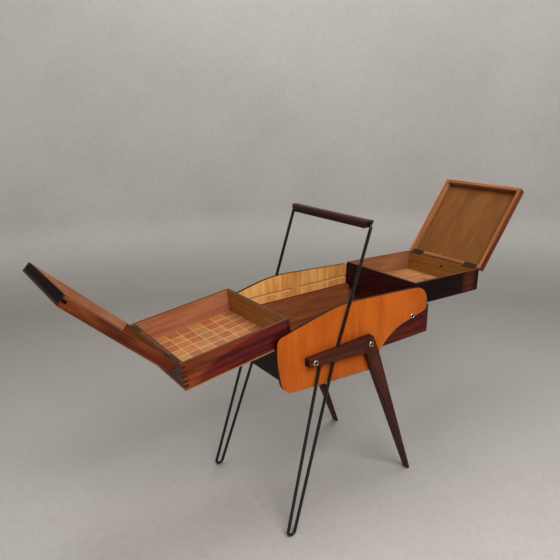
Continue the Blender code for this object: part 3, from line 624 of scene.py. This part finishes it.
def lathe(name, profile):
    """A profile of (radius, height) turned about the Y axis, starting and ending on it."""
    bm = bmesh.new()
    rings = []
    for radius, height in profile[1:-1]:
        ring = []
        for side in range(LATHE_SIDES):
            turn = 2 * math.pi * side / LATHE_SIDES
            ring.append(bm.verts.new((radius * math.cos(turn), height, radius * math.sin(turn))))
        rings.append(ring)
    join_rings(bm, rings)
    for ring, (_, height) in ((rings[0], profile[0]), (rings[-1], profile[-1])):
        tip = bm.verts.new((0, height, 0))
        for side in range(LATHE_SIDES):
            bm.faces.new((ring[side - 1], ring[side], tip))
    bmesh.ops.recalc_face_normals(bm, faces=bm.faces)
    mesh = bpy.data.meshes.new(name)
    bm.to_mesh(mesh)
    bm.free()
    mesh.shade_smooth()
    mesh.set_sharp_from_angle(angle=math.radians(40))
    piece = bpy.data.objects.new(name, mesh)
    bpy.context.scene.collection.objects.link(piece)
    return piece


def cut_slot(piece, turn):
    """A fine slit in the middle of a screw's head."""
    bpy.ops.mesh.primitive_cube_add(size=1)
    cutter = bpy.context.object
    cutter.scale = (SLOT_LENGTH, SLOT_TOP - SLOT_FLOOR, SLOT_WIDTH)
    cutter.rotation_euler = (0, turn, 0)
    cutter.location = (0, (SLOT_FLOOR + SLOT_TOP) / 2, 0)
    cut = piece.modifiers.new("slot", "BOOLEAN")
    cut.operation = "DIFFERENCE"
    cut.solver = "EXACT"
    cut.object = cutter
    bpy.context.view_layer.update()
    evaluated = piece.evaluated_get(bpy.context.evaluated_depsgraph_get())
    piece.data = bpy.data.meshes.new_from_object(evaluated)
    piece.modifiers.clear()
    bpy.data.objects.remove(cutter)


# Radius and height in millimetres, from the middle of the underside to the middle of the outer face.
CUP = [(0, 0.0), (5.0, 0.0), (6.4, 0.0), (6.55, 0.25), (6.3, 0.8), (5.6, 1.5), (5.0, 1.85), (4.6, 1.85),
       (4.3, 1.5), (3.9, 0.9), (0, 0.8)]
HEAD = [(0, 0.5), (3.6, 0.5), (3.95, 0.95), (3.7, 1.35), (2.9, 1.8), (1.6, 2.1), (0, 2.2)]
SLOT_LENGTH = 0.05       # in millimetres, like the rest of the head: a slit too fine to be seen
SLOT_WIDTH = 0.9
SLOT_FLOOR = 1.3
SLOT_TOP = 3.0
CUP_DEPTH = 2.7 * MM     # from the plain head's outer face to the cup's underside


def build_face_screw(node_name, brass, dark_brass, turn):
    """A cup washer with a raised screw head, in place of the plain one."""
    low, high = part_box(node_name)
    outward = -1 if low.y < 0 else 1
    face_y = (low.y if outward < 0 else high.y) - outward * CUP_DEPTH
    place = Vector(((low.x + high.x) / 2, face_y, (low.z + high.z) / 2))
    scale = Matrix.Diagonal((MM, MM * outward, MM, 1))
    for part, profile, material in (("cup", CUP, brass), ("head", HEAD, dark_brass)):
        piece = lathe(f"{node_name}_{part}", profile)
        if part == "head":
            cut_slot(piece, turn)
        piece.data.transform(scale)
        if outward < 0:
            piece.data.flip_normals()
        piece.data.transform(Matrix.Translation(place))
        piece.data.materials.clear()
        piece.data.materials.append(material)
        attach(piece, "stand")
        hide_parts(node_name)


def build_screws():
    brass = old_metal("cup_brass", (216, 204, 182), (160, 142, 114), CLOSED["stand"], 0.24)
    dark_brass = old_metal("head_brass", (96, 82, 64), (56, 46, 36), CLOSED["stand"], 0.36)
    for index, place in enumerate(("front", "back")):
        for number, name in enumerate(("bracket_screw_left", "bracket_screw_right", "panel_screw")):
            slot_turn = 0.7 + 0.9 * number + 0.4 * index
            build_face_screw(f"{place}_{name}", brass, dark_brass, slot_turn)


def dress_metal():
    for name, body in BODY_OF.items():
        if "hinge" in name or "guide_pin" in name:
            metal = old_metal(f"{name}_metal", (94, 80, 62), (62, 50, 38), CLOSED[body], 0.38)
            give(name, metal, 0.15 * MM, 2)


# ---------------------------------------------------------------- studio

HEADING = 35.03          # degrees from +Y towards +X
PITCH = 17.78            # degrees down
ROLL = -0.93
CAMERA_PLACE = (-0.7804, -0.9591, 0.9000)
LENS = 36.1
SENSOR = 36
BACKDROP_DISTANCE = 1.75  # from the object's middle to the wall
STAGE_RADIUS = 3.2
STAGE_HEIGHT = 3.0
STAGE_SIDES = 128
COVE_RADIUS = 0.35
COVE_STEPS = 12


def add_camera():
    data = bpy.data.cameras.new("camera")
    camera = bpy.data.objects.new("camera", data)
    bpy.context.scene.collection.objects.link(camera)
    data.lens = LENS
    data.sensor_width = SENSOR
    turn = Matrix.Rotation(math.radians(-HEADING), 4, "Z") @ Matrix.Rotation(math.radians(90 - PITCH), 4, "X")
    turn = turn @ Matrix.Rotation(math.radians(ROLL), 4, "Z")
    camera.matrix_world = Matrix.Translation(CAMERA_PLACE) @ turn
    bpy.context.scene.camera = camera


def add_area_light(name, place, target, size, power):
    """A round white light at a place, facing a target."""
    data = bpy.data.lights.new(name, "AREA")
    data.shape = "DISK"
    data.size = size
    data.energy = power
    light = bpy.data.objects.new(name, data)
    bpy.context.scene.collection.objects.link(light)
    light.location = place
    light.rotation_euler = (Vector(target) - Vector(place)).to_track_quat("-Z", "Y").to_euler()


def stage_material(ahead):
    """Plain mottled plaster. The floor gets darker towards the wall that lies ahead: painted shade."""
    graph = Graph("studio_plaster")
    coordinates = graph.add("ShaderNodeTexCoord", {}, {}).outputs["Object"]
    far = graph.vector_math("DOT_PRODUCT", coordinates, {1: ahead})["Value"]
    # painted shade: the floor's tone falls off with distance towards the wall, as if less light reached it
    # there
    lit_floor_tone, shaded_floor_tone = srgb(208, 204, 199), srgb(146, 143, 139)
    floor = graph.ramp(graph.step(far, -1.2, 1.3), [(0.0, lit_floor_tone), (1.0, shaded_floor_tone)])
    height = graph.parts(coordinates)["Z"]
    colour = graph.mix(graph.step(height, 0.02, 0.3), floor, srgb(187, 184, 180))
    cloud = graph.noise(coordinates, 2.2, 5, 0.65)
    colour = graph.mix(graph.step(cloud, 0.3, 0.7, 0.0, 0.22), colour, srgb(154, 150, 145))
    speck = graph.noise(coordinates, 60, 4, 0.7)
    colour = graph.mix(graph.step(speck, 0.35, 0.75, 0.0, 0.2), colour, srgb(150, 144, 136))
    graph.bump(speck, 0.6 * MM, 0.25)
    return graph.finish(colour, 0.75)


def add_stage():
    """A round floor inside a round wall, with a cove between them. The object stands towards its far side."""
    ahead = Vector((math.sin(math.radians(HEADING)), math.cos(math.radians(HEADING)), 0))
    centre = ahead * (BACKDROP_DISTANCE - STAGE_RADIUS)
    floor_radius = STAGE_RADIUS - COVE_RADIUS
    profile = [(floor_radius, 0.0)]
    for step in range(1, COVE_STEPS + 1):
        turn = math.radians(90 * step / COVE_STEPS)
        profile.append((floor_radius + COVE_RADIUS * math.sin(turn), COVE_RADIUS * (1 - math.cos(turn))))
    profile.append((STAGE_RADIUS, STAGE_HEIGHT))
    bm = bmesh.new()
    rings = []
    for radius, height in profile:
        ring = []
        for side in range(STAGE_SIDES):
            turn = 2 * math.pi * side / STAGE_SIDES
            offset = Vector((radius * math.cos(turn), radius * math.sin(turn), height))
            ring.append(bm.verts.new(centre + offset))
        rings.append(ring)
    bm.faces.new(rings[0])
    join_rings(bm, rings)
    bmesh.ops.recalc_face_normals(bm, faces=bm.faces)
    mesh = bpy.data.meshes.new("studio_floor")
    bm.to_mesh(mesh)
    bm.free()
    mesh.shade_smooth()
    mesh.materials.append(stage_material(ahead))
    floor = bpy.data.objects.new("studio_floor", mesh)
    bpy.context.scene.collection.objects.link(floor)


def add_lights():
    add_area_light("key", (-0.6, -2.2, 2.6), (0, -0.4, 0.1), 2.0, 89)
    add_area_light("top", (0.1, 0.1, 3.0), (0.5, 1.5, 1.0), 2.0, 34)
    add_area_light("back", (0.9, 0.9, 2.4), (0, 0.1, 0.4), 1.0, 9)
    world = bpy.data.worlds.new("studio")
    world.use_nodes = True
    background = world.node_tree.nodes["Background"]
    background.inputs["Color"].default_value = srgb(206, 203, 200)
    background.inputs["Strength"].default_value = 0.30
    bpy.context.scene.world = world
    view = bpy.context.scene.view_settings
    view.view_transform = "Standard"
    view.gamma = 0.86


dress_tray("left", 21)
dress_tray("right", 31)
dress_lid("left", 41)
dress_lid("right", 51)
dress_stand()
dress_metal()
build_screws()
add_stage()
add_lights()
add_camera()
